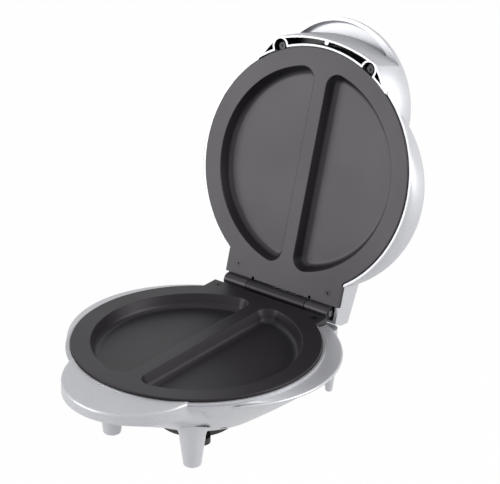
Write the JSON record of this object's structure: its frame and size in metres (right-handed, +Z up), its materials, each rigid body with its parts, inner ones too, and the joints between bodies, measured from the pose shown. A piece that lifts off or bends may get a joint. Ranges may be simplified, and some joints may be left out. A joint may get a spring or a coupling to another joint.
{
  "type": "electric omelette maker",
  "caption": "Countertop cooker on short legs with a hinged lid standing open: two round non-stick plates, each with a pair of half-moon cavities, a round front handle and a hood grip.",
  "frame": {"origin": "middle of the open appliance's outline, on the table under its feet", "axes": "+X to the user's right, +Y to the back where the hinge is, +Z up"},
  "size_m": [0.218, 0.3202, 0.2746],
  "materials": {
    "silver_plastic": "satin silver-grey moulding",
    "black_plastic": "fine-textured black",
    "nonstick": "cast aluminium with dark non-stick coating",
    "zinc_steel": "zinc-plated",
    "element_steel": "heat-tinted tube",
    "reflector_metal": "bright rolled sheet",
    "control_body": "moulded phenolic",
    "fuse_sleeve": "woven glass sleeve",
    "ceramic": "glazed white ceramic",
    "bush_rubber": "matt",
    "red_lens": "clear red moulding",
    "green_lens": "clear green moulding",
    "lamp_glass": "neon lamp glass",
    "board": "hard paper board"
  },
  "bodies": {
    "base": {"base_shell": "silver_plastic", "bottom_cover": "black_plastic", "cover_screws": "zinc_steel", "lower_plate": "nonstick", "lower_plate_screws": "zinc_steel", "lower_element": "element_steel", "lower_clamps": "zinc_steel", "lower_clamp_screws": "zinc_steel", "lower_reflector": "reflector_metal", "lower_reflector_screws": "zinc_steel", "thermostat": "control_body", "thermostat_screws": "zinc_steel", "thermal_fuse": "fuse_sleeve", "terminal_block": "ceramic", "terminal_screw": "zinc_steel", "cord_bush": "bush_rubber", "hinge_pin": "zinc_steel"},
    "lid": {"lid_shell": "silver_plastic", "upper_plate": "nonstick", "upper_plate_screws": "zinc_steel", "ear_screws": "zinc_steel", "upper_element": "element_steel", "upper_clamps": "zinc_steel", "upper_clamp_screws": "zinc_steel", "upper_reflector": "reflector_metal", "upper_reflector_screws": "zinc_steel", "power_lens": "red_lens", "ready_lens": "green_lens", "neon_lamps": "lamp_glass", "lamp_board": "board", "board_screws": "zinc_steel"}
  },
  "joints": [
    {"name": "lid_hinge", "type": "hinge", "parent": "base", "child": "lid", "pos_m": [0, 0.06678, 0.0682], "axis": [1, 0, 0], "range_deg": [0, 106]}
  ]
}
